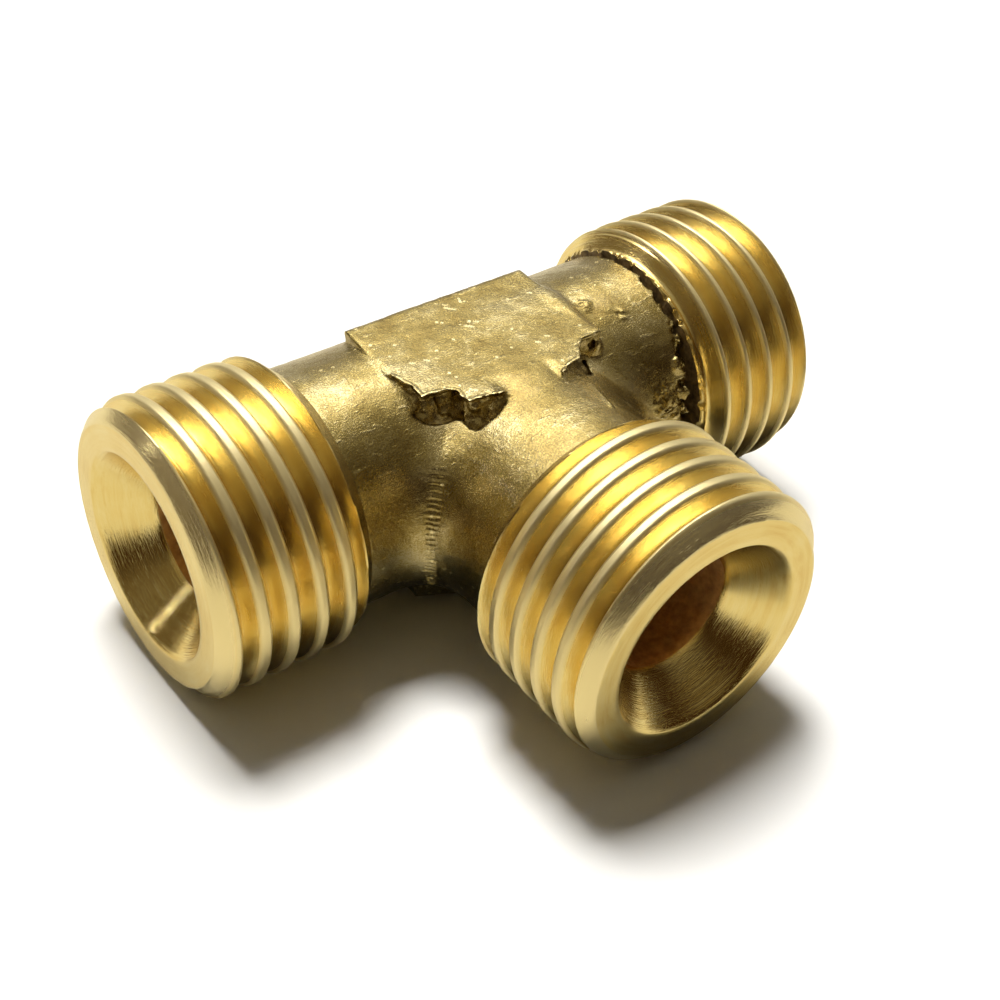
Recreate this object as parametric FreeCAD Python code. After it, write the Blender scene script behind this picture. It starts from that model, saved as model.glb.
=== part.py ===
"""Forged brass equal tee with three male-threaded, coned ends (G 1/4 thread form).

Frame, in millimetres: the origin is where the run axis crosses the branch axis. The run lies along X, the
branch points along -Y and +Z is up, out of the upper flat boss. The tee is one forging; each solid below is
one region of it, and neighbouring regions meet face to face on a flat plane across a leg.
"""
import FreeCAD, Part
import math
import os

# ---- driving dimensions (mm, degrees) ----
THREAD_MAJOR_DIA = 13.157      # G 1/4, 19 threads per inch
THREAD_PITCH = 1.337
THREAD_DEPTH = 0.856
THREAD_FLANK_ANGLE = 27.5      # half of the 55 degree Whitworth form
CREST_LAND = THREAD_PITCH / 6
RUN_FACE = 16.2                # centre to either end face of the run
BRANCH_FACE = 16.6             # centre to the end face of the branch
END_FACE_DIA = 11.8            # flat ring left inside the lead-in chamfer
SHOULDER_DIA = 11.5            # foot of the run-out chamfer behind the thread
CHAMFER_ANGLE = 45.0

SEAT_MOUTH_DIA = 9.2           # conical sealing seat in each end
SEAT_HALF_ANGLE = 40.0
BORE_DIA = 5.7

NECK_DIA = 11.0                # as-forged round necks
CORE_REACH = 6.4               # centre to the planes where the necks start
CROTCH_FILLET = 0.8
CROTCH_HALF_HEIGHT = 4.8       # the fillets reach this far above and below the axes

BOSS_HEIGHT = 5.6              # run axis to the flat of either boss
BOSS_HALF_LENGTH = 4.8         # along the run
BOSS_REAR = 2.6                # behind the run axis
BOSS_FRONT = 5.3               # towards the branch
BOSS_SIDE_FRONT = 3.4          # where the slanted front corners begin
BOSS_NOSE_HALF = 1.2           # half width left at the front
BOSS_EDGE_ROUND = 0.35

# ---- worked out from them ----
MAJOR_R = THREAD_MAJOR_DIA / 2
NECK_R = NECK_DIA / 2
BORE_R = BORE_DIA / 2
GROOVE_EXIT_ANGLE = 110.0      # the groove crosses the end face well clear of the blank's seam, straight up
RUN_AXIS = FreeCAD.Vector(1, 0, 0)
BRANCH_AXIS = FreeCAD.Vector(0, -1, 0)
UP = FreeCAD.Vector(0, 0, 1)
ORIGIN = FreeCAD.Vector(0, 0, 0)

# Each leg: node prefix, turn about Z that carries +X onto the leg, distances from the centre to the end face
# and to the shoulder where machining stops, and the angle at which the groove starts, counted from straight
# down and right-handed about the leg's outward axis. The ends were machined one by one, so shoulders differ.
LEGS = (
    ("right", 0.0, RUN_FACE, 9.4, 140.0),
    ("left", 180.0, RUN_FACE, 8.8, 239.0),
    ("branch", -90.0, BRANCH_FACE, 9.15, 322.0),
)


def rod(radius, start, length, axis):
    """A round bar along an axis through the origin, from start to start + length."""
    return Part.makeCylinder(radius, length, axis * start, axis)


def revolved(points):
    """Revolve a closed outline of (x, radius) points about the X axis."""
    corners = [FreeCAD.Vector(x, 0, r) for x, r in points]
    face = Part.Face(Part.makePolygon(corners + corners[:1]))
    return face.revolve(ORIGIN, RUN_AXIS, 360.0)


def bores():
    """The three meeting drillings as one solid: straight through the run and down the branch."""
    run = rod(BORE_R, -RUN_FACE, 2 * RUN_FACE, RUN_AXIS)
    branch = rod(BORE_R, 0.0, BRANCH_FACE, BRANCH_AXIS)
    return run.fuse(branch)


def boss_prism():
    """Upper and lower flat bosses as one prism whose front corners are slanted back towards the necks."""
    outline = [
        (-BOSS_HALF_LENGTH, BOSS_REAR),
        (-BOSS_HALF_LENGTH, -BOSS_SIDE_FRONT),
        (-BOSS_NOSE_HALF, -BOSS_FRONT),
        (BOSS_NOSE_HALF, -BOSS_FRONT),
        (BOSS_HALF_LENGTH, -BOSS_SIDE_FRONT),
        (BOSS_HALF_LENGTH, BOSS_REAR),
    ]
    corners = [FreeCAD.Vector(x, y, -BOSS_HEIGHT) for x, y in outline]
    prism = Part.Face(Part.makePolygon(corners + corners[:1])).extrude(UP * (2 * BOSS_HEIGHT))
    rims = [e for e in prism.Edges if abs(abs(e.CenterOfMass.z) - BOSS_HEIGHT) < 1e-6]
    return prism.makeFillet(BOSS_EDGE_ROUND, rims)


def crotch_edges(shape):
    """The curved edges where the run neck and the branch neck meet, in the planes y = x and y = -x."""
    found = []
    for edge in shape.Edges:
        middle = edge.valueAt((edge.FirstParameter + edge.LastParameter) / 2)
        on_diagonal = abs(abs(middle.x) - abs(middle.y)) < 1e-4
        if on_diagonal and middle.y < -NECK_R / 2:
            found.append(edge)
    return found


def layer(shape, bottom, top):
    """The part of a shape between two heights."""
    slab = Part.makeBox(4 * CORE_REACH, 4 * CORE_REACH, top - bottom)
    slab.translate(FreeCAD.Vector(-2 * CORE_REACH, -2 * CORE_REACH, bottom))
    return shape.common(slab)


def centre_body():
    """Forged core: crossing necks with filleted crotches, the two bosses, and the meeting bores.

    The crotches are filleted on the middle layer alone, whose flat ends lie inside the bosses.
    """
    run = rod(NECK_R, -CORE_REACH, 2 * CORE_REACH, RUN_AXIS)
    branch = rod(NECK_R, 0.0, CORE_REACH, BRANCH_AXIS)
    crossing = run.fuse(branch)
    middle = layer(crossing, -CROTCH_HALF_HEIGHT, CROTCH_HALF_HEIGHT)
    middle = middle.makeFillet(CROTCH_FILLET, crotch_edges(middle))
    above = layer(crossing, CROTCH_HALF_HEIGHT, NECK_DIA)
    below = layer(crossing, -NECK_DIA, -CROTCH_HALF_HEIGHT)
    return middle.multiFuse([above, below, boss_prism()]).cut(bores())


def neck(shoulder):
    """Round neck of the leg that points along +X, from the core to the shoulder."""
    length = shoulder - CORE_REACH
    return rod(NECK_R, CORE_REACH, length, RUN_AXIS).cut(rod(BORE_R, CORE_REACH, length, RUN_AXIS))


def thread_blank(face_x, shoulder):
    """Turned blank of one end: run-out chamfer, major diameter, lead-in chamfer, coned seat and bore."""
    slope = math.tan(math.radians(CHAMFER_ANGLE))
    shoulder_r = SHOULDER_DIA / 2
    face_r = END_FACE_DIA / 2
    seat_r = SEAT_MOUTH_DIA / 2
    seat_depth = (seat_r - BORE_R) / math.tan(math.radians(SEAT_HALF_ANGLE))
    return revolved([
        (shoulder, BORE_R),
        (shoulder, shoulder_r),
        (shoulder + (MAJOR_R - shoulder_r) / slope, MAJOR_R),
        (face_x - (MAJOR_R - face_r) / slope, MAJOR_R),
        (face_x, face_r),
        (face_x, seat_r),
        (face_x - seat_depth, BORE_R),
    ])


def groove_angle_as_cut(face_x, shoulder):
    """Where the groove starts on the unturned blank, so that it leaves the end face at GROOVE_EXIT_ANGLE."""
    turns = (face_x - shoulder) / THREAD_PITCH
    return GROOVE_EXIT_ANGLE - 360.0 * turns


def thread_groove(face_x, shoulder):
    """Right-hand helical groove that starts at the shoulder and runs out past the end face."""
    helix = Part.makeHelix(THREAD_PITCH, face_x + THREAD_PITCH - shoulder, MAJOR_R)
    proud = THREAD_PITCH / 10
    spread = math.tan(math.radians(THREAD_FLANK_ANGLE))
    mouth = (THREAD_PITCH - CREST_LAND) / 2
    outline = [
        (MAJOR_R + proud, mouth + proud * spread),
        (MAJOR_R - THREAD_DEPTH, mouth - THREAD_DEPTH * spread),
        (MAJOR_R - THREAD_DEPTH, THREAD_DEPTH * spread - mouth),
        (MAJOR_R + proud, -mouth - proud * spread),
    ]
    corners = [FreeCAD.Vector(r, 0, z) for r, z in outline]
    profile = Part.makePolygon(corners + corners[:1])
    groove = Part.Wire(helix.Edges).makePipeShell([profile], True, True)
    groove.rotate(ORIGIN, UP, groove_angle_as_cut(face_x, shoulder))
    groove.rotate(ORIGIN, FreeCAD.Vector(0, 1, 0), 90.0)
    groove.translate(RUN_AXIS * shoulder)
    return groove


def threaded_end(face_x, shoulder, start_angle):
    """Male-threaded, coned end of the leg that points along +X, turned so its groove starts at start_angle."""
    end = thread_blank(face_x, shoulder).cut(thread_groove(face_x, shoulder))
    end.rotate(ORIGIN, RUN_AXIS, start_angle - groove_angle_as_cut(face_x, shoulder))
    return end


def single_solid(shape, name):
    """Return the one solid in a shape, and stop if it isn't one valid solid."""
    if len(shape.Solids) != 1 or not shape.isValid():
        raise ValueError("%s: %d solids, valid %s" % (name, len(shape.Solids), shape.isValid()))
    return shape.Solids[0]


def write(name, shape):
    """Write one region of the tee to its own STEP file."""
    solid = single_solid(shape, name)
    solid.exportStep(os.path.join("parts", name + ".step"))
    print("%-14s %9.2f mm3  %d faces" % (name, solid.Volume, len(solid.Faces)))


os.makedirs("parts", exist_ok=True)
write("centre_body", centre_body())
for leg, turn, end_x, shoulder_x, groove_angle in LEGS:
    regions = {"neck": neck(shoulder_x), "thread": threaded_end(end_x, shoulder_x, groove_angle)}
    for region, shape in regions.items():
        shape.rotate(ORIGIN, UP, turn)
        write(leg + "_" + region, shape)
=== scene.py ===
"""Brass tee with three threaded ends, as forged and machined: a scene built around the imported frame."""
import math

import bpy
import numpy as np
from mathutils import Matrix, Vector


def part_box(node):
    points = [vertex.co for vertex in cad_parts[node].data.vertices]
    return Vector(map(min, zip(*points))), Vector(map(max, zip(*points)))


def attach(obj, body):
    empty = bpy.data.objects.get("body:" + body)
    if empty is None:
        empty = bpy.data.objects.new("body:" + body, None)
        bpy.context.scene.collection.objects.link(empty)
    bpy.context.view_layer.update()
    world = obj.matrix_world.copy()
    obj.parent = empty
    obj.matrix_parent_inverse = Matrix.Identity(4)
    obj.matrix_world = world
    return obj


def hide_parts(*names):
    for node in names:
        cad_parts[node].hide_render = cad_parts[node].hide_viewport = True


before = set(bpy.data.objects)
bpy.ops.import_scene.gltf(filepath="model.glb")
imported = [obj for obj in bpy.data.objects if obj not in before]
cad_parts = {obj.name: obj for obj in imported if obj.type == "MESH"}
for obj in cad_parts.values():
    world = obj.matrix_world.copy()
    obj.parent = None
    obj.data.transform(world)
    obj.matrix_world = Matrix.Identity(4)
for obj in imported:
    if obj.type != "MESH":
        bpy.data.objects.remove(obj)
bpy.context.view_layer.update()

MM = 0.001                      # the shapes below are worked out in millimetres


# ---------------------------------------------------------------- sizes, from the frame
def box_mm(node):
    """Lowest and highest corner of a CAD node."""
    low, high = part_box(node)
    return np.array(low) / MM, np.array(high) / MM


right_low, right_high = box_mm("right_thread")
left_low, left_high = box_mm("left_thread")
branch_low, branch_high = box_mm("branch_thread")
centre_low, centre_high = box_mm("centre_body")

MAJOR_R = (right_high[2] - right_low[2]) / 2
PITCH = 1.337
BORE_R = 2.85
NECK_R = 5.5
SHOULDER_R = 5.75               # foot of the run-out bevel behind each thread
FACE_R = 5.9                    # outer edge of the flat ring at each end
MOUTH_R = 4.6                   # mouth of the coned seat
SEAT_HALF_ANGLE = math.radians(40)
BOSS_TOP = centre_high[2]
FLANK = math.radians(27.5)
LAND = {"right": 0.10, "left": 0.21, "branch": 0.21}   # half the width of the flattened crests
GROOVE = 0.83                   # depth of the rounded roots
FLOOR_Z = -MAJOR_R

# Each leg: prefix, outward axis, where machining stops, end face, angle where the thread groove starts.
LEGS = (
    ("right", (1, 0, 0), right_low[0], right_high[0], 140.0),
    ("left", (-1, 0, 0), -left_high[0], -left_low[0], 239.0),
    ("branch", (0, -1, 0), -branch_high[1], -branch_low[1], 322.0),
)
SHOULDER = {leg: shoulder for leg, axis, shoulder, face, angle in LEGS}


# ---------------------------------------------------------------- small numeric helpers
def lattice_noise(points, size, seed):
    """Smooth noise from -1 to 1 with features about `size` mm across, at an (n, 3) array of points."""
    table = np.random.default_rng(seed).uniform(-1, 1, (64, 64, 64)).astype(np.float32)
    q = points / size + 1000.0
    cell = np.floor(q).astype(np.int64)
    t = (q - cell).astype(np.float32)
    t = t * t * t * (t * (t * 6 - 15) + 10)
    out = np.zeros(len(points), np.float32)
    for corner in range(8):
        i, j, k = corner & 1, corner >> 1 & 1, corner >> 2 & 1
        weight = ((t[:, 0] if i else 1 - t[:, 0]) * (t[:, 1] if j else 1 - t[:, 1])
                  * (t[:, 2] if k else 1 - t[:, 2]))
        out += weight * table[(cell[:, 0] + i) % 64, (cell[:, 1] + j) % 64, (cell[:, 2] + k) % 64]
    return out


def layered_noise(points, size, seed):
    """Three layers of lattice noise, each half the size and height of the one before."""
    total = np.zeros(len(points), np.float32)
    for octave in range(3):
        total += lattice_noise(points, size / 2 ** octave, seed + octave) / 2 ** octave
    return total


def smooth_min(a, b, k):
    """The smaller of two values, blended where they differ by less than k."""
    h = np.maximum(k - np.abs(a - b), 0) / k
    return np.minimum(a, b) - h * h * k / 4


def smooth_max(a, b, k):
    return -smooth_min(-a, -b, k)


def step(low, high, value):
    """Rises smoothly from 0 at low to 1 at high; low may be the larger of the two."""
    t = np.clip((value - low) / (high - low), 0, 1)
    return t * t * (3 - 2 * t)


def new_object(name, vertices_mm, faces, sharp_degrees=None):
    """A mesh object from vertices in mm and a list or array of quads and triangles."""
    mesh = bpy.data.meshes.new(name)
    mesh.from_pydata((np.asarray(vertices_mm, float) * MM).tolist(), [], faces)
    mesh.validate()
    mesh.shade_smooth()
    if sharp_degrees is not None:
        mesh.set_sharp_from_angle(angle=math.radians(sharp_degrees))
    obj = bpy.data.objects.new(name, mesh)
    bpy.context.scene.collection.objects.link(obj)
    return obj


# ---------------------------------------------------------------- threaded ends
COLUMNS = 384
ROWS_PER_PITCH = 40
ROOT_ROUND = 0.30
TOOL_FEED = 0.27                # pitch of the fine grooves left on the right run-out bevel
FEED_DEPTH = 0.07               # how deep they are
BITE_DEPTH, BITE_REACH = 0.22, 0.25   # teeth of the bevel's edge beside the torn gap
EDGE_ROUND = 0.12               # radius between each lead-in chamfer and the ring
RIM_ROUND = 0.06                # the same between the ring and the cone
BEVEL_REACH = 0.75              # how far the lead-in chamfer reaches back from the face
CONE_ROWS = 12
BORE_ROWS = 12

# material slots of an end piece
THREADED, FACED, TORN, DRILLED = range(4)


def thread_radius(x, theta, shoulder, start, land):
    """Radius of the 55-degree thread at axial distance x and angle theta (radians)."""
    turn = (x - shoulder) / PITCH - (theta - math.radians(start)) / (2 * math.pi)
    from_crest = np.abs((turn - np.floor(turn)) - 0.5) * PITCH
    flank = (from_crest - land) / math.tan(FLANK)
    depth = smooth_max(flank, np.zeros_like(flank), land)
    depth = smooth_min(depth, np.full_like(depth, GROOVE), ROOT_ROUND)
    return MAJOR_R - depth


def outer_radius(x, theta, leg, shoulder, face, start):
    """The thread, cut by a rounded chamfer at the face and a bevel at the shoulder."""
    r = thread_radius(x, theta, shoulder, start, LAND[leg])
    from_face = face - x
    from_shoulder = x - shoulder
    front = FACE_R - EDGE_ROUND + np.sqrt(from_face * (from_face + 2 * EDGE_ROUND))
    back = SHOULDER_R + from_shoulder
    if leg == "right":
        feed = 1 - np.cos(from_shoulder * 2 * math.pi / TOOL_FEED)
        back = back - FEED_DEPTH / 2 * feed * step(0.05, 0.2, from_shoulder)
        round_points = np.stack([6 * np.cos(theta), 6 * np.sin(theta), 0 * theta], axis=-1).reshape(-1, 3)
        bite = np.maximum(layered_noise(round_points, 0.35, seed=81), 0).reshape(theta.shape)
        back = back - BITE_DEPTH * bite * step(BITE_REACH, 0.0, from_shoulder)
    r = smooth_min(r, front, 0.10)
    return smooth_min(r, back, 0.06)


def inside_profile(shoulder, face):
    """(x, radius) from the flat ring over its edge, down the coned seat and back along the bore."""
    seat_depth = (MOUTH_R - BORE_R) / math.tan(SEAT_HALF_ANGLE)
    bore_start = face - seat_depth - 0.05
    profile = [(face, FACE_R - 0.22 - 0.2 * k) for k in range(5)]
    profile += [(face, MOUTH_R + RIM_ROUND), (face - RIM_ROUND * 0.3, MOUTH_R + RIM_ROUND * 0.25)]
    for k in range(1, CONE_ROWS + 1):
        t = k / (CONE_ROWS + 1)
        x = face - RIM_ROUND - (seat_depth - RIM_ROUND) * t
        profile.append((x, MOUTH_R - RIM_ROUND * 0.2 - (MOUTH_R - BORE_R) * t * 0.985))
    profile.append((bore_start, BORE_R))
    for k in range(1, BORE_ROWS + 1):
        profile.append((bore_start - (bore_start - shoulder) * k / BORE_ROWS, BORE_R))
    return profile


def threaded_end(leg, axis, shoulder, face, start):
    """One machined end: helical outside, flat ring, coned mouth, plain bore, closed at the shoulder.

    The rows of the outside follow the helix, and stop on the face and on the shoulder where they meet them.
    """
    a = np.array(axis, float)
    down = np.array((0.0, 0.0, -1.0))
    side = np.cross(a, down)
    columns = np.arange(COLUMNS)
    theta = columns / COLUMNS * 2 * math.pi
    around = np.cos(theta)[:, None] * down + np.sin(theta)[:, None] * side

    turns = int(math.ceil((face - shoulder) / PITCH)) + 1
    phases = np.arange(-ROWS_PER_PITCH, turns * ROWS_PER_PITCH + 1) / ROWS_PER_PITCH
    n_rows = len(phases)
    helix_x = shoulder + phases[:, None] * PITCH + theta[None, :] / (2 * math.pi) * PITCH
    x = np.clip(helix_x, shoulder, face)
    radius = outer_radius(x, theta[None, :] + 0 * x, leg, shoulder, face, start)
    outside = (x[..., None] * a + radius[..., None] * around[None]).reshape(-1, 3)

    # in each column, every row beyond an edge shares the one vertex that stands on the edge
    index = np.arange(n_rows * COLUMNS).reshape(n_rows, COLUMNS)
    first = np.maximum(np.argmax(helix_x >= shoulder, axis=0) - 1, 0)
    last = np.minimum(n_rows - np.argmax((helix_x <= face)[::-1], axis=0), n_rows - 1)
    lowest = index[first, columns]
    highest = index[last, columns]
    shared = index.copy()
    for c in columns:
        shared[:first[c] + 1, c] = lowest[c]
        shared[last[c]:, c] = highest[c]

    faces = []

    def add(quad):
        ring = [int(v) for k, v in enumerate(quad) if v != quad[k - 1]]
        if len(set(ring)) >= 3:
            faces.append(ring)

    left, right = shared[:, :-1], shared[:, 1:]
    quads = np.stack([left[:-1], right[:-1], right[1:], left[1:]], axis=-1).reshape(-1, 4)
    for quad in quads:
        add(quad)
    # the seam joins a row of the last column to the row of the first column that is a pitch above it
    for k in range(n_rows - 1):
        low, high = (min(k + ROWS_PER_PITCH + more, n_rows - 1) for more in (0, 1))
        add((shared[k, -1], shared[low, 0], shared[high, 0], shared[k + 1, -1]))
    helical_faces = len(faces)

    rings = [x_at * a + r * around for x_at, r in inside_profile(shoulder, face)]
    ring_ids = [len(outside) + k * COLUMNS + columns for k in range(len(rings))]
    vertices = np.concatenate([outside] + rings)
    chain = [highest] + ring_ids + [lowest]
    for here, there in zip(chain[:-1], chain[1:]):
        for quad in np.stack([here, np.roll(here, -1), np.roll(there, -1), there], axis=-1):
            add(quad)

    used = np.unique(np.concatenate([np.array(f) for f in faces]))
    renumber = np.full(len(vertices), -1)
    renumber[used] = np.arange(len(used))
    faces = [[int(renumber[v]) for v in f] for f in faces]
    end = new_object(leg + "_machined_end", vertices[used], faces, sharp_degrees=50)
    for polygons, slot in ((end.data.polygons[helical_faces:], FACED),
                           (end.data.polygons[-(BORE_ROWS + 1) * COLUMNS:], DRILLED),
                           (end.data.polygons[-COLUMNS:], TORN)):
        for polygon in polygons:
            polygon.material_index = slot
    return end


# ---------------------------------------------------------------- forged body
VOXEL = 0.08
SCORE_PITCH = 0.24
CROTCH_BLEND = 2.2
UPPER_DRAFT, LOWER_DRAFT = 0.10, 0.12   # slope of the pads' sides
# The raised pad from above: straight behind and on the right, torn in front and round its left corner.
PAD_OUTLINE = (
    (-4.75, 2.63), (4.85, 2.63), (4.85, -3.3), (4.35, -3.4), (3.7, -3.35), (3.15, -3.75), (2.65, -4.45),
    (2.0, -4.6), (1.4, -4.9), (1.05, -5.15), (-0.7, -5.25), (-1.0, -5.2), (-1.2, -4.85), (-1.65, -4.68),
    (-2.2, -4.57), (-2.75, -4.47), (-3.2, -4.45), (-3.3, -4.04), (-3.2, -3.56), (-3.47, -3.3), (-3.8, -3.3),
    (-4.3, -3.15), (-4.73, -3.18), (-4.6, -2.33), (-4.73, -1.88), (-4.8, -1.44), (-5.0, -1.0),
)
# The lower pad has plain edges.
LOWER_OUTLINE = ((-4.8, 2.6), (4.8, 2.6), (4.8, -3.4), (1.2, -5.3), (-1.2, -5.3), (-4.8, -3.4))


def outline_distance(points, outline):
    """Signed distance from (n, 2) points to a closed outline, negative inside."""
    nearest = np.full(len(points), 1e9)
    inside = np.zeros(len(points), bool)
    corners = np.array(outline, float)
    for p, q in zip(corners, np.roll(corners, -1, axis=0)):
        edge = q - p
        rel = points - p
        t = np.clip((rel @ edge) / (edge @ edge), 0, 1)
        nearest = np.minimum(nearest, np.hypot(*(rel - t[:, None] * edge).T))
        crosses = (p[1] > points[:, 1]) != (q[1] > points[:, 1])
        if edge[1] != 0:
            at_x = p[0] + (points[:, 1] - p[1]) * edge[0] / edge[1]
            inside ^= crosses & (points[:, 0] < at_x)
    return np.where(inside, -nearest, nearest)


def ellipsoid(p, centre, radii):
    """Rough signed distance to an ellipsoid, negative inside."""
    q = (p - np.array(centre)) / np.array(radii)
    return (np.sqrt((q * q).sum(axis=1)) - 1) * min(radii)


def ridge(p, start, end, radius):
    """Signed distance to a thin round bar from start to end."""
    a, b = np.array(start), np.array(end)
    t = np.clip((p - a) @ (b - a) / ((b - a) @ (b - a)), 0, 1)
    return np.sqrt(((p - a - t[:, None] * (b - a)) ** 2).sum(axis=1)) - radius


# Tears beside the raised pad are cut inwards along one slanting direction, from the front left and above.
TEAR_RIGHT = np.array((0.796, -0.602, 0.061))
TEAR_UP = np.array((0.350, 0.539, 0.766))
TEAR_OUT = np.cross(TEAR_RIGHT, TEAR_UP)
# Each: a point beside the tear, its ragged outline (right, up), and its depth there: a + b right + c up.
TEARS = (
    ((-3.3, -4.2, 5.0),
     ((-2.83, 1.40), (-2.13, 0.98), (-1.72, 0.48), (-1.39, 0.65), (-0.64, 0.86), (-0.27, 0.82),
      (-0.04, 0.52), (0.05, -0.44), (-0.35, -0.34), (-0.72, -0.48), (-1.14, -0.62), (-1.64, -0.55),
      (-2.15, -0.2), (-1.88, 0.2), (-2.3, 0.5), (-2.55, 0.95)),
     (1.15, 0.38, 0.0)),
    ((-3.3, -4.2, 5.0),
     ((-0.06, 0.53), (0.27, 0.34), (0.64, 0.49), (1.14, 0.63), (1.95, 0.78), (1.70, 0.2), (1.3, -0.26),
      (0.95, -0.55), (0.6, -0.8), (0.25, -0.76), (0.0, -0.44)),
     (0.45, 0.02, -0.40)),
    ((2.9, -4.5, 4.9),
     ((-0.84, -0.05), (-0.5, 0.27), (0.14, 0.55), (0.3, 0.18), (0.48, -0.16), (-0.15, -0.27)),
     (0.74, 1.86, 1.5)),
)
# Right of the pad: a small raised ring, as its centre, outer radius and hole radius.
CRATER = ((4.55, -3.0, 4.72), 0.50, 0.22)
# Thin raised folds: start, end and radius.
CREASES = (
    ((2.45, -5.50, 4.93), (1.90, -7.50, 5.17), 0.07),
    ((3.70, -4.95, 4.15), (5.10, -5.52, 2.92), 0.05),
)
# Rough raised crusts: centre, reach and height.
CRUSTS = (
    ((7.55, -5.05, 1.75), 0.95, 0.30),
    ((8.55, -4.60, 3.05), 0.50, 0.25),
    ((8.10, -5.00, 1.00), 0.80, 0.22),
    ((5.60, -1.12, 5.39), 0.50, 0.07),
    ((6.94, -2.25, 5.02), 0.45, 0.07),
)


def runs_out(x):
    """1 along the stretch of the pad's front edge that has no lip."""
    return step(-1.9, -1.0, x) * step(1.6, 1.1, x)


def forged_shape(p, upper2, lower2):
    """Signed distance of the plain forging at points p: legs, crotches and the two raised pads."""
    x, y, z = p[:, 0], p[:, 1], p[:, 2]
    run = np.hypot(y, z) - NECK_R
    branch = np.maximum(np.hypot(x, z) - NECK_R, y)
    # the blend fills the crotches and fades out at the top and bottom, where run and branch are tangent
    amount = step(5.2, 3.0, np.abs(z))
    body = np.minimum(run, branch) * (1 - amount) + smooth_min(run, branch, CROTCH_BLEND) * amount
    rolled_edge = 0.18 * np.maximum(upper2 + 0.25, 0)
    # over the branch the pad falls to the level of the neck, without a step
    neck_drop = BOSS_TOP - np.sqrt(NECK_R ** 2 - np.clip(x, -2, 2) ** 2)
    fall = neck_drop * runs_out(x) * step(-3.0, -4.6, y) * step(-1.6, 0.0, upper2)
    upper = smooth_max(upper2 + UPPER_DRAFT * (BOSS_TOP - z), z - BOSS_TOP + rolled_edge + fall, 0.10)
    lower = smooth_max(lower2 - LOWER_DRAFT * (BOSS_TOP + z), -z - BOSS_TOP, 0.5)
    softness = 0.18 + 0.35 * step(3.8, 4.6, x) * step(1.5, 0.0, y)
    body = smooth_min(body, np.maximum(upper, -z), softness)
    return smooth_min(body, np.maximum(lower, z), 0.5)


def with_lumps(p, body, rough):
    """Adds the crusts, the crater and the creases."""
    torn_face = 1 - 2 * np.abs(layered_noise(p, 0.36, seed=45))
    for centre, reach, height in CRUSTS:
        away = np.sqrt(((p - np.array(centre)) ** 2).sum(axis=1)) + 0.2 * reach * rough
        body = body - height * step(reach, 0.35 * reach, away) * (0.55 + 0.75 * torn_face)
    centre, reach, hole = CRATER
    body = smooth_min(body, ellipsoid(p, centre, (reach, reach, 0.45)) + 0.08 * rough, 0.12)
    body = smooth_max(body, -ellipsoid(p, np.array(centre) + 0.36 * TEAR_OUT, (hole, hole, 0.3)), 0.06)
    for start, end, radius in CREASES:
        body = smooth_min(body, ridge(p, start, end, radius) + 0.02 * rough, 0.08)
    return body


def with_tears(p, body, rough):
    """Cuts the tears beside the raised pad."""
    for beside, outline, (deep, deep_right, deep_up) in TEARS:
        local = p - np.array(beside)
        plan = np.stack([local @ TEAR_RIGHT, local @ TEAR_UP], axis=-1)
        reach_in = deep + deep_right * plan[:, 0] + deep_up * plan[:, 1] + 0.14 * rough
        wall = outline_distance(plan, outline) + 0.03 * rough
        cut = smooth_max(wall, -(local @ TEAR_OUT) - reach_in, 0.08)
        body = smooth_max(body, -cut, 0.05)
    return body


def with_scores(p, body, rough):
    """Scores a strip up the left crotch."""
    x, y, z = p[:, 0], p[:, 1], p[:, 2]
    valley = np.abs(np.hypot(y, z) - np.hypot(x, z))
    strip = step(0.55, 0.25, valley) * step(-2.0, -3.5, x) * step(-1.0, -2.0, y)
    strip = strip * step(3.6, 2.8, z) * step(-5.0, -3.0, z)
    return body + strip * (0.028 * np.sin(z * 2 * math.pi / SCORE_PITCH + 1.5 * rough) + 0.02)


def with_ragged_shoulders(p, body, rough):
    """Tears metal away where the right thread meets the neck, most in front, and nicks the other two."""
    x, y, z = p[:, 0], p[:, 1], p[:, 2]
    around = np.degrees(np.arctan2(y, -z)) % 360
    r = np.hypot(y, z)
    ragged = layered_noise(p, 0.55, seed=51)
    front = step(195, 275, around)
    wide = (0.18 + 0.80 * front + 0.10 * step(150, 110, around)) * (1 + 0.75 * ragged)
    deep = (0.30 + 0.60 * front) * (1 + 0.6 * rough)
    gap = np.maximum(SHOULDER["right"] - np.maximum(wide, 0) - x, NECK_R - deep - r)
    body = smooth_max(body, -gap, 0.03)
    nicked = (("left", -x, r, 61, 0.05), ("branch", -y, np.hypot(x, z), 71, 0.12))
    for leg, along, radius, seed, nick in nicked:
        bite = nick * np.maximum(layered_noise(p, 0.7, seed) + 0.15, 0)
        body = np.maximum(body, -np.maximum(SHOULDER[leg] - bite - along, NECK_R - bite - radius))
    return body


def torn_shape(p, upper2, lower2):
    """The forging with its tears, burrs, creases and the grain of its skin."""
    x, y, z = p[:, 0], p[:, 1], p[:, 2]
    torn = step(0.5, -1.5, y) * step(5.75, 5.0, z) * step(-0.2, 2.0, z)
    body = forged_shape(p, upper2 + torn * 0.06 * layered_noise(p, 0.5, seed=11), lower2)
    rough = layered_noise(p, 0.45, seed=41)
    # the torn side of the pad has a burr along its lip
    burr_size = 0.10 * step(-0.8, -1.6, y) * step(4.6, 4.0, x) * (1 - runs_out(x) * step(-4.3, -4.8, y))
    burr = np.hypot(upper2 + 0.05, z - BOSS_TOP + 0.06 - 0.04 * rough) - burr_size
    body = smooth_min(body, burr, 0.05)
    body = with_lumps(p, body, rough)
    body = with_tears(p, body, rough)
    body = with_scores(p, body, rough)
    body = with_ragged_shoulders(p, body, rough)
    return body + 0.020 * layered_noise(p, 1.7, seed=21) + 0.006 * layered_noise(p, 0.30, seed=31)


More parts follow.
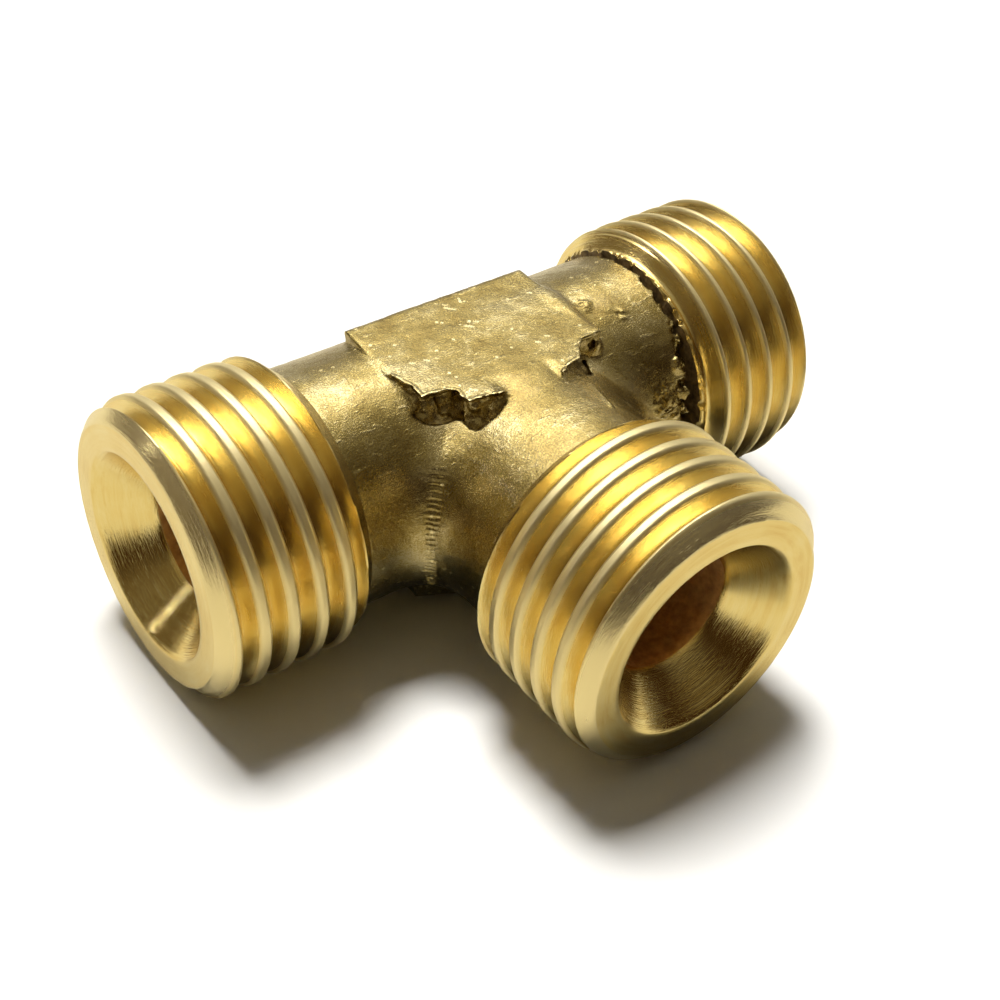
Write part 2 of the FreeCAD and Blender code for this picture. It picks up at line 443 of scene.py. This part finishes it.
def trim(p, body):
    """Cuts the crossing bores, and ends the forging where the machined ends begin."""
    x, y, z = p[:, 0], p[:, 1], p[:, 2]
    body = np.maximum(body, BORE_R - np.hypot(y, z))
    body = np.maximum(body, -np.maximum(np.hypot(x, z) - BORE_R, y))
    for limit in (x - SHOULDER["right"], -x - SHOULDER["left"], -y - SHOULDER["branch"]):
        body = np.maximum(body, limit)
    return body


def surface_nets(field, origin, voxel):
    """Vertices and quads on the zero surface of a field sampled on a grid, one vertex to a crossed cell."""
    inside = field < 0
    nx, ny, nz = field.shape
    corners = [inside[i:nx - 1 + i, j:ny - 1 + j, k:nz - 1 + k]
               for i in (0, 1) for j in (0, 1) for k in (0, 1)]
    count = sum(corner.astype(np.int8) for corner in corners)
    crossed = (count > 0) & (count < 8)
    cells = np.argwhere(crossed)
    ids = np.full(crossed.shape, -1, np.int64)
    ids[crossed] = np.arange(len(cells))

    # a vertex stands at the mean of the points where the surface crosses its cell's edges
    total = np.zeros((len(cells), 3))
    hits = np.zeros(len(cells))
    for axis in range(3):
        others = [o for o in range(3) if o != axis]
        for s in (0, 1):
            for t in (0, 1):
                start = cells.copy()
                start[:, others[0]] += s
                start[:, others[1]] += t
                end = start.copy()
                end[:, axis] += 1
                f0 = field[tuple(start.T)]
                f1 = field[tuple(end.T)]
                crosses = (f0 < 0) != (f1 < 0)
                point = start.astype(float)
                point[:, axis] += np.where(crosses, f0 / np.where(crosses, f0 - f1, 1), 0)
                total += point * crosses[:, None]
                hits += crosses
    vertices = origin + voxel * total / hits[:, None]

    # a quad joins the four cells round each crossed edge, facing outwards
    quads = []
    for axis in range(3):
        b, c = (axis + 1) % 3, (axis + 2) % 3
        crosses = np.diff(inside, axis=axis)
        for other in (b, c):
            for border in (0, -1):
                crosses[tuple(border if o == other else slice(None) for o in range(3))] = False
        at = np.argwhere(crosses)
        back_b, back_c = np.eye(3, dtype=int)[[b, c]]
        ring = [ids[tuple((at - s * back_b - t * back_c).T)] for s, t in ((1, 1), (0, 1), (0, 0), (1, 0))]
        ring = np.stack(ring, axis=-1)
        outward = inside[tuple(at.T)]
        ring[~outward] = ring[~outward][:, ::-1]
        quads.append(ring)
    return vertices, np.concatenate(quads)


def without_crumbs(vertices, quads):
    """Keeps the one connected surface that has the most vertices."""
    label = np.arange(len(vertices))
    while True:
        lowest = label[quads].min(axis=1)
        spread = label.copy()
        for corner in quads.T:
            np.minimum.at(spread, corner, lowest)
            np.minimum.at(spread, label[corner], lowest)
        spread = spread[spread]
        if (spread == label).all():
            break
        label = spread
    kept = label == np.bincount(label).argmax()
    renumber = np.cumsum(kept) - 1
    return vertices[kept], renumber[quads[kept[quads[:, 0]]]]


def forged_body(name):
    """The forging between the machined ends. Its fine relief is worked out only close to the surface."""
    margin = 3 * VOXEL
    low = np.array([-SHOULDER["left"], -SHOULDER["branch"], centre_low[2]]) - margin
    high = np.array([SHOULDER["right"], NECK_R + 0.2, centre_high[2]]) + margin
    xs, ys, zs = (np.arange(l, h, VOXEL) for l, h in zip(low, high))
    plan = np.stack(np.meshgrid(xs, ys, indexing="ij"), axis=-1).reshape(-1, 2)
    upper2 = outline_distance(plan, PAD_OUTLINE).reshape(len(xs), len(ys))
    lower2 = outline_distance(plan, LOWER_OUTLINE).reshape(len(xs), len(ys))
    field = np.empty((len(xs), len(ys), len(zs)), np.float32)
    yy, zz = np.meshgrid(ys, zs, indexing="ij")
    for i, x in enumerate(xs):
        p = np.stack([np.full(yy.size, x), yy.ravel(), zz.ravel()], axis=-1)
        u2 = np.repeat(upper2[i], len(zs))
        l2 = np.repeat(lower2[i], len(zs))
        f = forged_shape(p, u2, l2)
        # the tears reach deep on the upper front and at the right shoulder, and nowhere else
        busy = ((p[:, 1] < -0.8) & (p[:, 2] > -0.5)) | (p[:, 0] > SHOULDER["right"] - 2)
        near = np.abs(f) < np.where(busy, 1.5, 0.25)
        f[near] = torn_shape(p[near], u2[near], l2[near])
        field[i] = trim(p, f).reshape(yy.shape)
    vertices, quads = without_crumbs(*surface_nets(field, low, VOXEL))
    return new_object(name, vertices, quads.tolist(), sharp_degrees=55)


# ---------------------------------------------------------------- materials
class Nodes:
    """Short forms for building the node tree of a material or a world."""

    def __init__(self, owner, shader):
        owner.use_nodes = True
        self.owner = owner
        self.tree = owner.node_tree
        self.shader = self.tree.nodes[shader]

    def add(self, kind, **settings):
        """A new node. A setting is the value of the socket with that name, or else a property."""
        node = self.tree.nodes.new(kind)
        for key, value in settings.items():
            if key in node.inputs.keys():
                node.inputs[key].default_value = value
            else:
                setattr(node, key, value)
        return node

    def link(self, source, target):
        self.tree.links.new(source, target)

    def feed(self, value, socket):
        """Gives a socket a number, a colour or another node's output."""
        if isinstance(value, (int, float)):
            socket.default_value = value
        elif isinstance(value, tuple):
            socket.default_value = (*value, 1)
        else:
            self.link(value, socket)

    def math(self, operation, *values):
        node = self.add("ShaderNodeMath", operation=operation)
        for socket, value in zip(node.inputs, values):
            self.feed(value, socket)
        return node.outputs[0]

    def weighted(self, *terms):
        """Sum of values, each given with its weight."""
        total = None
        for value, weight in terms:
            part = self.math("MULTIPLY", value, weight)
            total = part if total is None else self.math("ADD", total, part)
        return total

    def vector(self, x, y, z):
        node = self.add("ShaderNodeCombineXYZ")
        for socket, value in zip(node.inputs, (x, y, z)):
            self.feed(value, socket)
        return node.outputs[0]

    def split(self, vector):
        node = self.add("ShaderNodeSeparateXYZ")
        self.link(vector, node.inputs[0])
        return node.outputs

    def position_mm(self):
        coordinates = self.add("ShaderNodeTexCoord")
        scaled = self.add("ShaderNodeVectorMath", operation="SCALE", Scale=1 / MM)
        self.link(coordinates.outputs["Object"], scaled.inputs[0])
        return scaled.outputs[0]

    def noise(self, vector, scale, detail=2.0, roughness=0.5):
        node = self.add("ShaderNodeTexNoise", Scale=scale, Detail=detail, Roughness=roughness)
        self.link(vector, node.inputs["Vector"])
        return node.outputs["Fac"]

    def ramp(self, value, stops):
        node = self.add("ShaderNodeValToRGB")
        self.link(value, node.inputs[0])
        elements = node.color_ramp.elements
        while len(elements) < len(stops):
            elements.new(0.5)
        for element, (position, colour) in zip(elements, stops):
            element.position = position
            element.color = (*colour, 1)
        return node.outputs["Color"]

    def mix(self, amount, low, high):
        """The colour low where amount is 0 and high where it is 1."""
        node = self.add("ShaderNodeMix", data_type="RGBA")
        self.link(amount, node.inputs["Factor"])
        self.feed(low, node.inputs[6])
        self.feed(high, node.inputs[7])
        return node.outputs[2]

    def scale_range(self, value, low, high, to_low, to_high):
        node = self.add("ShaderNodeMapRange")
        self.link(value, node.inputs["Value"])
        for key, number in (("From Min", low), ("From Max", high), ("To Min", to_low), ("To Max", to_high)):
            node.inputs[key].default_value = number
        return node.outputs[0]

    def bump(self, height, distance_mm, strength=1.0, under=None):
        node = self.add("ShaderNodeBump", Strength=strength, Distance=distance_mm * MM)
        self.link(height, node.inputs["Height"])
        if under is not None:
            self.link(under, node.inputs["Normal"])
        return node.outputs["Normal"]

    def set(self, **values):
        """Feeds the shader's sockets; an underscore in a name stands for a space."""
        for name, value in values.items():
            self.feed(value, self.shader.inputs[name.replace("_", " ")])


def material_nodes(name):
    return Nodes(bpy.data.materials.new(name), "Principled BSDF")


def turned_brass(name, along, rough, bevel_from, painted_shade_factor=1.0):
    """Bright brass with fine tool lines round the axis named by `along` ("X" or "Y").

    The crests are paler and more matt, a finish of their own; the bevel, which starts `bevel_from` mm out,
    is made paler as a painted reflection.
    """
    n = material_nodes(name)
    position = n.position_mm()
    x, y, z = n.split(position)
    axial, across = (x, y) if along == "X" else (y, x)
    radial = n.math("SQRT", n.math("ADD", n.math("MULTIPLY", across, across), n.math("MULTIPLY", z, z)))
    drift = n.noise(position, 0.35, detail=1.0)
    lines_at = n.vector(axial, radial, n.math("MULTIPLY", drift, 1.2))
    fine = n.noise(lines_at, 14.0, detail=3.0, roughness=0.7)
    broad = n.noise(lines_at, 3.0, detail=2.0)
    patches = n.noise(position, 0.55, detail=3.0)
    tone = n.weighted((broad, 0.40), (patches, 0.35), (fine, 0.25))
    stops = ((0.35, (0.77, 0.56, 0.19)), (0.50, (0.86, 0.68, 0.28)), (0.66, (0.90, 0.765, 0.38)))
    # painted shade: the last argument darkens a whole copy of this brass
    bright = n.ramp(tone, [(at, tuple(painted_shade_factor * part for part in colour)) for at, colour in stops])
    crest = n.scale_range(radial, MAJOR_R - 0.20, MAJOR_R - 0.06, 0.0, 1.0)
    # painted reflection: the bevel is coloured paler, standing in for the bright room it mirrors
    bevel = n.scale_range(n.math("ABSOLUTE", axial), bevel_from, bevel_from + 0.25, 0.0, 1.0)
    pale_crest_and_bevel_reflection = n.math("MAXIMUM", crest, bevel)
    polish = n.scale_range(tone, 0.3, 0.7, rough + 0.04, rough - 0.03)
    n.set(Base_Color=n.mix(pale_crest_and_bevel_reflection, bright, (0.84, 0.71, 0.38)),
          Metallic=n.math("SUBTRACT", 1.0, n.math("MULTIPLY", pale_crest_and_bevel_reflection, 0.08)),
          Roughness=n.math("ADD", polish, n.math("MULTIPLY", crest, 0.13)),
          Normal=n.bump(fine, 0.018, strength=0.9))
    return n.owner


def forged_brass(name):
    """Satin brass skin as it leaves the die: khaki bloom, fine grain and small bright scuffs."""
    n = material_nodes(name)
    position = n.position_mm()
    grain = n.noise(position, 13.0, detail=3.0, roughness=0.7)
    cloud = n.noise(position, 0.45, detail=4.0, roughness=0.6)
    stretched = n.add("ShaderNodeVectorMath", operation="MULTIPLY")
    n.link(position, stretched.inputs[0])
    stretched.inputs[1].default_value = (0.30, 1.0, 1.0)
    scuffs = n.noise(stretched.outputs[0], 3.6, detail=3.0, roughness=0.6)
    marks = n.scale_range(scuffs, 0.60, 0.68, 0.0, 1.0)
    tone = n.weighted((cloud, 0.50), (grain, 0.50), (marks, 0.08))
    stops = ((0.36, (0.22, 0.145, 0.035)), (0.50, (0.36, 0.275, 0.090)), (0.62, (0.56, 0.470, 0.250)))
    skin = n.ramp(tone, stops)
    # edges of the tears and burrs are rubbed bright and also carry a painted highlight, and their depths
    # get painted shade
    pointiness = n.add("ShaderNodeNewGeometry").outputs["Pointiness"]
    edge = n.scale_range(pointiness, 0.545, 0.62, 0.0, 1.0)
    # painted shade: the hollows, found by pointiness, are coloured dark
    depth = n.scale_range(pointiness, 0.47, 0.42, 0.0, 1.0)
    # worn edges, brightened further as a painted highlight
    rubbed_and_highlit = n.mix(edge, skin, (0.90, 0.77, 0.42))
    coarse = n.bump(cloud, 0.05, strength=0.6)
    dents = n.bump(marks, 0.014, strength=0.6, under=coarse)
    # the dark colour mixed in here is the painted shade in the hollows
    n.set(Base_Color=n.mix(depth, rubbed_and_highlit, (0.13, 0.075, 0.02)),
          Metallic=0.99,
          Coat_Weight=0.25,
          Coat_Roughness=0.2,
          Roughness=n.scale_range(tone, 0.3, 0.7, 0.32, 0.18),
          Normal=n.bump(grain, 0.022, strength=0.9, under=dents))
    return n.owner


def worn_brass(name, dark, light, metallic, roughness):
    """Broken or drilled brass: mottled, dull and a little coarse."""
    n = material_nodes(name)
    position = n.position_mm()
    mottle = n.noise(position, 2.5, detail=4.0, roughness=0.65)
    n.set(Base_Color=n.ramp(mottle, ((0.35, dark), (0.65, light))),
          Metallic=metallic,
          Roughness=n.scale_range(mottle, 0.3, 0.7, roughness + 0.1, roughness - 0.1),
          Normal=n.bump(n.noise(position, 7.0, detail=3.0), 0.03, strength=0.8))
    return n.owner


def plain(name, colour, roughness):
    n = material_nodes(name)
    n.set(Base_Color=colour, Roughness=roughness)
    return n.owner


def glowing(name, colour):
    n = material_nodes(name)
    n.set(Base_Color=(0, 0, 0), Roughness=0.6, Specular_IOR_Level=0.0)
    n.set(Emission_Color=colour, Emission_Strength=1.0)
    return n.owner


# ---------------------------------------------------------------- pieces
tee = forged_body("forged_tee")
tee.data.materials.append(forged_brass("forged_brass"))
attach(tee, "root")
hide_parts("centre_body", "right_neck", "left_neck", "branch_neck")

# painted shade: the wall left bare in the torn gap at the right shoulder is coloured near black
torn_wall_shade = worn_brass("torn_brass_painted_shade", (0.06, 0.035, 0.012), (0.20, 0.13, 0.05), 0.6, 0.5)
drilled = worn_brass("drilled_brass", (0.52, 0.28, 0.08), (0.72, 0.42, 0.14), 0.6, 0.45)
for leg, axis, shoulder, face, start in LEGS:
    end = threaded_end(leg, axis, shoulder, face, start)
    along = "X" if axis[0] else "Y"
    slots = {THREADED: turned_brass("threaded_brass_" + leg, along, 0.25, face - BEVEL_REACH),
             # the faced copy is darkened to 0.91 as painted shade, toning down the bright floor its rings
             # and cones mirror
             FACED: turned_brass("faced_brass_" + leg, along, 0.16, face + 1, 0.91),
             TORN: torn_wall_shade,
             DRILLED: drilled}
    for slot in sorted(slots):
        end.data.materials.append(slots[slot])
    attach(end, "root")
    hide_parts(leg + "_thread")


# ---------------------------------------------------------------- stage
STAGE_R = 240.0                 # mm, far enough that a low view still ends on the pale backdrop
BACKDROP_TOP = 70.0             # degrees above the floor


def circle(radius, z, segments):
    around = np.arange(segments) / segments * 2 * math.pi
    return np.stack([radius * np.cos(around), radius * np.sin(around), np.full(segments, z)], axis=-1)


def disc(name, radius, z, segments=96):
    return new_object(name, circle(radius, z, segments), [list(range(segments))])


def backdrop_wall(name, radius, segments=72):
    """A pale band round the whole stage, so that every view ends on the same plain background."""
    top = radius * math.tan(math.radians(BACKDROP_TOP))
    rings = [circle(radius, z, segments) for z in (FLOOR_Z, top)]
    faces = [[k, (k + 1) % segments, segments + (k + 1) % segments, segments + k] for k in range(segments)]
    return new_object(name, np.concatenate(rings), faces)


def seen_by(obj, camera, glossy, diffuse=False):
    """Says which rays see a stage object. None of them casts a shadow."""
    obj.visible_camera = camera
    obj.visible_glossy = glossy
    obj.visible_diffuse = diffuse
    obj.visible_shadow = False


floor = disc("floor", STAGE_R, FLOOR_Z)
floor.data.materials.append(plain("floor_white", (0.86, 0.86, 0.855), 0.8))
seen_by(floor, camera=True, glossy=False, diffuse=True)

# The floor as the metal mirrors it: darker and warmer, so the pale floor doesn't wash out the brass.
mirrored_floor = disc("mirrored_floor", STAGE_R, FLOOR_Z - 0.02)
mirrored_floor.data.materials.append(plain("floor_mirrored", (0.66, 0.61, 0.47), 0.8))
seen_by(mirrored_floor, camera=False, glossy=True)

backdrop = backdrop_wall("pale_backdrop", STAGE_R * 0.98)
backdrop.data.materials.append(glowing("backdrop_white", (1.0, 1.0, 1.0)))
seen_by(backdrop, camera=True, glossy=False)


# ---------------------------------------------------------------- lights
PALE_WALLS = (0.52, 0.49, 0.42)
DIM_WALL_AZIMUTH, DIM_WALL = 150, (0.135, 0.10, 0.055)
FRONT_AZIMUTH, DARK_FRONT = -90, (0.042, 0.023, 0.009)
CEILING = (0.34, 0.30, 0.21)
WINDOW_AZIMUTH = 74
WINDOW_COLOUR = (6.0, 5.91, 5.64)
LAMP_AZIMUTH, LAMP_ELEVATION = 140, 28
LAMP_COLOUR = (22.0, 21.5, 20.0)


def direction(azimuth, elevation):
    """Unit vector towards an azimuth, anticlockwise from +X, and an elevation, both in degrees."""
    az, el = math.radians(azimuth), math.radians(elevation)
    return Vector((math.cos(az) * math.cos(el), math.sin(az) * math.cos(el), math.sin(el)))


def room_light():
    """What the metal mirrors: a dark front, a dim wall, pale walls, a bright window high up and a lamp."""
    world = bpy.data.worlds.new("room")
    bpy.context.scene.world = world
    world.cycles_visibility.diffuse = False
    n = Nodes(world, "Background")
    x, y, z = n.split(n.add("ShaderNodeTexCoord").outputs["Generated"])
    level = n.math("SQRT", n.math("ADD", n.math("MULTIPLY", x, x), n.math("MULTIPLY", y, y)))
    level = n.math("MAXIMUM", level, 0.001)

    def facing(azimuth):
        """Cosine of the horizontal angle away from an azimuth."""
        way = direction(azimuth, 0)
        return n.math("DIVIDE", n.weighted((x, way.x), (y, way.y)), level)

    def between(value, start, full):
        return n.scale_range(value, start, full, 0.0, 1.0)

    def height(low, high):
        return between(z, math.sin(math.radians(low)), math.sin(math.radians(high)))

    walls = n.mix(between(facing(DIM_WALL_AZIMUTH), 0.30, 0.70), PALE_WALLS, DIM_WALL)
    walls = n.mix(between(facing(FRONT_AZIMUTH), 0.17, 0.37), walls, DARK_FRONT)
    colour = n.mix(height(36, 56), walls, CEILING)
    window = n.math("MULTIPLY", between(facing(WINDOW_AZIMUTH), 0.52, 0.70), height(43, 48))
    window = n.math("MULTIPLY", window, height(78, 68))
    colour = n.mix(window, colour, WINDOW_COLOUR)
    way = direction(LAMP_AZIMUTH, LAMP_ELEVATION)
    aim = n.weighted((x, way.x), (y, way.y), (z, way.z))
    lamp = between(aim, math.cos(math.radians(2.0)), math.cos(math.radians(1.3)))
    n.set(Color=n.mix(lamp, colour, LAMP_COLOUR), Strength=1.0)


def softbox(name, azimuth, elevation, distance, size, radiance, colour):
    """A square area light aimed at the origin. The metal mirrors the room instead of it."""
    light = bpy.data.lights.new(name, "AREA")
    light.shape = "SQUARE"
    light.size = size * MM
    light.color = colour
    light.energy = radiance * math.pi * light.size ** 2
    obj = bpy.data.objects.new(name, light)
    way = direction(azimuth, elevation)
    obj.location = way * distance * MM
    obj.rotation_euler = way.to_track_quat("Z", "Y").to_euler()
    obj.visible_glossy = False
    bpy.context.scene.collection.objects.link(obj)


room_light()
softbox("key", azimuth=82, elevation=73, distance=600, size=200, radiance=45.0, colour=(1.0, 0.985, 0.95))
softbox("fill", azimuth=150, elevation=75, distance=700, size=1200, radiance=0.22, colour=(1.0, 0.90, 0.75))

# ---------------------------------------------------------------- camera
AZIMUTH, ELEVATION, ROLL = math.radians(-40.04), math.radians(39.77), math.radians(4.53)
DISTANCE, OFF_RIGHT, OFF_UP = 75.79, 1.715, -3.298
back = Vector((math.sin(AZIMUTH) * math.cos(ELEVATION), -math.cos(AZIMUTH) * math.cos(ELEVATION),
               math.sin(ELEVATION)))
level_right = Vector((0, 0, 1)).cross(back).normalized()
level_up = back.cross(level_right)
right = level_right * math.cos(ROLL) + level_up * math.sin(ROLL)
up = level_up * math.cos(ROLL) - level_right * math.sin(ROLL)
camera_data = bpy.data.cameras.new("camera")
camera_data.lens = 59.575
camera_data.sensor_width = 36.0
camera_data.clip_start = 0.001
camera = bpy.data.objects.new("camera", camera_data)
place = (back * DISTANCE + right * OFF_RIGHT + up * OFF_UP) * MM
camera.matrix_world = Matrix.Translation(place) @ Matrix((right, up, back)).transposed().to_4x4()
bpy.context.scene.collection.objects.link(camera)
bpy.context.scene.camera = camera
bpy.context.scene.view_settings.view_transform = "Standard"
